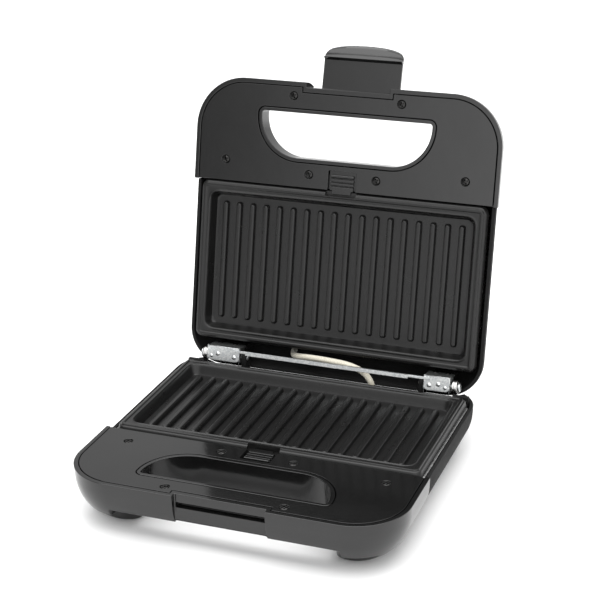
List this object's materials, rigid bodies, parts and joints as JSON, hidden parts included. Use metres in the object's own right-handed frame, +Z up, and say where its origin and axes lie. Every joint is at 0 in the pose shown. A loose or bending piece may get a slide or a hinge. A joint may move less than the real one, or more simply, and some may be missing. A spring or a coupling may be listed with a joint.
{
  "type": "contact grill",
  "caption": "Compact black contact grill with hinged ribbed plates, D-shaped handles and a swing latch, standing open.",
  "frame": {"origin": "centre of the bounding box of the opened grill, on the surface that its rubber feet stand on", "axes": "+Z up, +X along the width and the hinge line, -Y the side with the handles, +Y the side with the hinge"},
  "size_m": [0.2286, 0.295, 0.2599],
  "materials": {
    "gloss_black": "glossy",
    "matte_black": "fine texture",
    "nonstick": "non-stick coating",
    "zinc": "zinc plated",
    "spring_steel": "bright",
    "blackened_steel": "black oxide",
    "rubber": "matt",
    "reflector": "bright sheet",
    "element": "heat tinted",
    "ceramic": "glazed",
    "fuse_case": "satin",
    "glass_sleeve": "braided glass fibre",
    "lamp_glass": "clear",
    "lens": "translucent"
  },
  "bodies": {
    "base": {"base_front_cover": "gloss_black", "base_rear_housing": "matte_black", "base_deck": "gloss_black", "base_deck_screws": "blackened_steel", "base_housing_screws": "zinc", "rubber_feet": "rubber", "lower_grill_plate": "nonstick", "lower_reflector": "reflector", "lower_heating_element": "element", "lower_catch_spring": "spring_steel", "thermal_fuse": "fuse_case", "terminal_block": "ceramic", "cord_gland": "rubber", "hinge_pins": "zinc", "hinge_springs": "spring_steel", "wire_sleeve": "glass_sleeve"},
    "lid": {"lid_front_cover": "gloss_black", "lid_rear_housing": "matte_black", "lid_deck": "gloss_black", "lid_deck_screws": "blackened_steel", "lid_housing_screws": "zinc", "upper_grill_plate": "nonstick", "upper_reflector": "reflector", "upper_heating_element": "element", "upper_catch_spring": "spring_steel", "thermostat": "fuse_case", "neon_lamps": "lamp_glass", "lamp_lenses": "lens", "latch_pin": "zinc", "hinge_bracket_right": "zinc", "hinge_bracket_left": "zinc", "bracket_rivets": "zinc", "hinge_crossbar": "zinc"},
    "latch": {"latch_clip": "gloss_black"},
    "lower_catch": {"lower_plate_catch": "gloss_black"},
    "upper_catch": {"upper_plate_catch": "gloss_black"}
  },
  "joints": [
    {"name": "lid_hinge", "type": "hinge", "parent": "base", "child": "lid", "pos_m": [0, 0.05747, 0.0412], "axis": [1, 0, 0], "range_deg": [0, 102], "deforming": ["wire_sleeve"]},
    {"name": "latch_hinge", "type": "hinge", "parent": "lid", "child": "latch", "pos_m": [0, 0.11802, 0.22411], "axis": [1, 0, 0], "range_deg": [0, 96]},
    {"name": "lower_catch_slide", "type": "slide", "parent": "base", "child": "lower_catch", "axis": [0, -1, 0], "range_m": [0, 0.0026], "stiffness_N_per_m": 400},
    {"name": "upper_catch_slide", "type": "slide", "parent": "lid", "child": "upper_catch", "axis": [0, 0.2079, 0.9781], "range_m": [0, 0.0026], "stiffness_N_per_m": 400}
  ]
}
